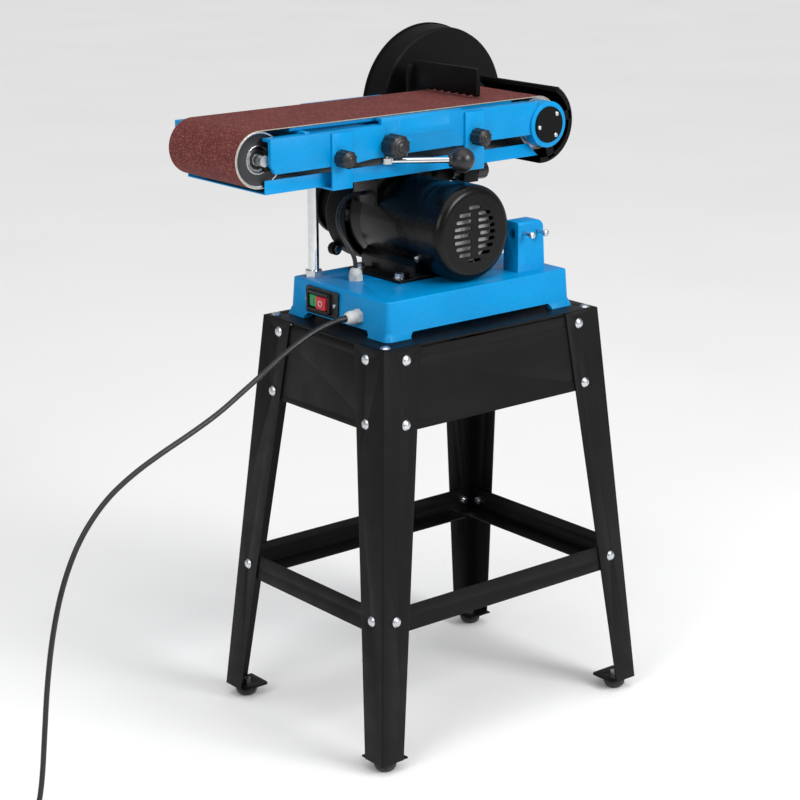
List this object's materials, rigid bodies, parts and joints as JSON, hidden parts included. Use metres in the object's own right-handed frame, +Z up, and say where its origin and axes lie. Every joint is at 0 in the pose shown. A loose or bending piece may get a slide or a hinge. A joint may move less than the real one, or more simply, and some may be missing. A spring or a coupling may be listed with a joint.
{
  "type": "belt and disc sander",
  "caption": "Floor-standing belt and disc sander: wide flat sanding belt on a tilting arm over a motor, sanding disc behind, on a splayed sheet-steel stand.",
  "frame": {"origin": "middle of the bounding box of everything but the free cord, on the floor under the rubber feet", "axes": "+Z up; +X along the sanding belt from the idler drum to the drive drum; +Y along the spindle from the motor fan to the sanding disc"},
  "size_m": [1.2015, 0.5716, 0.9274],
  "materials": {
    "stand_paint": "satin black powder coat on folded steel sheet",
    "blue_casting": "blue semi-gloss machine paint on cast iron",
    "blue_sheet": "blue semi-gloss machine paint on steel sheet",
    "black_paint": "black fine-textured paint on steel sheet",
    "black_casting": "black enamel on cast iron",
    "motor_black": "black gloss motor enamel on steel",
    "zinc_steel": "bright zinc plated steel",
    "machined_steel": "machined steel",
    "chrome_rod": "polished chrome plate",
    "drum_aluminium": "turned aluminium",
    "knob_plastic": "black moulded phenolic",
    "switch_black": "black moulded nylon",
    "button_green": "green moulded plastic",
    "button_red": "red moulded plastic",
    "gland_nylon": "light grey nylon",
    "black_rubber": "black rubber",
    "cord_rubber": "black PVC cord sheath",
    "belt_abrasive": "red-brown aluminium oxide abrasive on cloth",
    "disc_abrasive": "red-brown aluminium oxide abrasive on paper",
    "winding": "laminated steel core with copper winding"
  },
  "bodies": {
    "machine": {"stand_legs": "stand_paint", "stand_aprons": "stand_paint", "stand_braces": "stand_paint", "stand_top_plate": "stand_paint", "rubber_feet": "black_rubber", "stand_fasteners": "zinc_steel", "base_casting": "blue_casting", "rod_lug": "blue_casting", "support_post": "chrome_rod", "switch_body": "switch_black", "cable_glands": "gland_nylon", "motor_cable": "cord_rubber", "power_cord": "cord_rubber", "cord_coil": "cord_rubber", "plug": "cord_rubber", "fan_cover": "motor_black", "motor_end_shields": "motor_black", "stator": "winding", "motor_shell": "motor_black", "ribbed_belt": "black_rubber", "belt_cover": "black_paint", "spindle_housing": "black_casting", "shaft_bearings": "machined_steel", "disc_guard": "black_paint", "machine_screws": "zinc_steel", "table_bracket": "black_casting", "table_pins": "machined_steel"},
    "arm": {"arm_casting": "blue_casting", "arm_bearings": "machined_steel", "bearing_cap": "black_paint", "arm_screws": "zinc_steel", "platen": "machined_steel", "sanding_belt": "belt_abrasive", "dust_tray": "blue_sheet", "drum_guard": "black_paint"},
    "idler_carrier": {"idler_yoke": "black_casting", "idler_shaft": "machined_steel"},
    "idler": {"idler_drum": "drum_aluminium", "idler_bearings": "machined_steel"},
    "lever": {"tension_lever": "chrome_rod", "lever_ball": "knob_plastic"},
    "tracking": {"tracking_knob": "knob_plastic"},
    "tray_knob_near_left": {"tray_knob_left": "knob_plastic"},
    "tray_knob_near_right": {"tray_knob_right": "knob_plastic"},
    "stop_fence": {"work_stop": "black_paint"},
    "spindle_unit": {"spindle": "machined_steel", "drive_drum": "drum_aluminium", "driven_pulley": "machined_steel", "sanding_disc_plate": "drum_aluminium", "abrasive_disc": "disc_abrasive"},
    "rotor": {"motor_rotor": "machined_steel", "motor_fan": "drum_aluminium", "motor_pulley": "drum_aluminium"},
    "arm_lock": {"arm_lock_knob": "knob_plastic"},
    "rod_lock_left": {"rod_lock_screw_left": "zinc_steel"},
    "rod_lock_right": {"rod_lock_screw_right": "zinc_steel"},
    "start": {"start_button": "button_green"},
    "stop": {"stop_button": "button_red"},
    "tilting_table": {"disc_table": "blue_casting"},
    "table_knob": {"table_lock_knob": "knob_plastic"}
  },
  "joints": [
    {"name": "arm_tilt", "type": "hinge", "parent": "machine", "child": "arm", "pos_m": [0.1883, -0.01475, 0.8071], "axis": [0, 1, 0], "range_deg": [0, 90]},
    {"name": "spindle_spin", "type": "hinge", "parent": "machine", "child": "spindle_unit", "pos_m": [0.1883, -0.01475, 0.8071], "axis": [0, 1, 0], "continuous": true},
    {"name": "motor_spin", "type": "hinge", "parent": "machine", "child": "rotor", "pos_m": [-0.0083, -0.10425, 0.6872], "axis": [0, 1, 0], "continuous": true},
    {"name": "idler_slide", "type": "slide", "parent": "arm", "child": "idler_carrier", "axis": [1, 0, 0], "range_m": [0, 0.008]},
    {"name": "idler_spin", "type": "hinge", "parent": "idler_carrier", "child": "idler", "pos_m": [-0.2957, -0.01475, 0.8071], "axis": [0, 1, 0], "continuous": true},
    {"name": "lever_swing", "type": "hinge", "parent": "arm", "child": "lever", "pos_m": [-0.0947, -0.10125, 0.7852], "axis": [0, 0, 1], "range_deg": [-100, 0]},
    {"name": "tracking_turn", "type": "hinge", "parent": "arm", "child": "tracking", "pos_m": [-0.0957, -0.12425, 0.807], "axis": [0, -1, 0], "range_deg": [-360, 360]},
    {"name": "tray_knob_left_turn", "type": "hinge", "parent": "arm", "child": "tray_knob_near_left", "pos_m": [-0.1807, -0.12425, 0.7995], "axis": [0, -1, 0], "range_deg": [0, 720]},
    {"name": "tray_knob_right_turn", "type": "hinge", "parent": "arm", "child": "tray_knob_near_right", "pos_m": [0.0533, -0.12425, 0.804], "axis": [0, -1, 0], "range_deg": [0, 720]},
    {"name": "work_stop_height", "type": "slide", "parent": "arm", "child": "stop_fence", "axis": [0, 0, 1], "range_m": [0, 0.0035]},
    {"name": "arm_lock_turn", "type": "hinge", "parent": "machine", "child": "arm_lock", "pos_m": [0.1863, 0.04575, 0.72], "axis": [1, 0, 0], "range_deg": [0, 360]},
    {"name": "rod_lock_left_turn", "type": "hinge", "parent": "machine", "child": "rod_lock_left", "pos_m": [0.0858, -0.18425, 0.6745], "axis": [0, -1, 0], "range_deg": [0, 720]},
    {"name": "rod_lock_right_turn", "type": "hinge", "parent": "machine", "child": "rod_lock_right", "pos_m": [0.1113, -0.18425, 0.6745], "axis": [0, -1, 0], "range_deg": [0, 720]},
    {"name": "start_press", "type": "slide", "parent": "machine", "child": "start", "axis": [1, 0, 0], "range_m": [0, 0.002], "stiffness_N_per_m": 400, "springref_m": -0.002},
    {"name": "stop_press", "type": "slide", "parent": "machine", "child": "stop", "axis": [1, 0, 0], "range_m": [0, 0.003], "stiffness_N_per_m": 400, "springref_m": -0.002},
    {"name": "table_tilt", "type": "hinge", "parent": "machine", "child": "tilting_table", "pos_m": [0.1883, 0.18775, 0.772], "axis": [1, 0, 0], "range_deg": [-45, 0]},
    {"name": "table_knob_turn", "type": "hinge", "parent": "machine", "child": "table_knob", "pos_m": [0.2483, 0.18775, 0.772], "axis": [1, 0, 0], "range_deg": [0, 720]}
  ],
  "couplings": [
    {"joint": "motor_spin", "follows": "spindle_spin", "ratio": 1.5454},
    {"joint": "idler_spin", "follows": "spindle_spin", "ratio": 1},
    {"joint": "lever_swing", "follows": "idler_slide", "rad_per_m": -218.17}
  ]
}
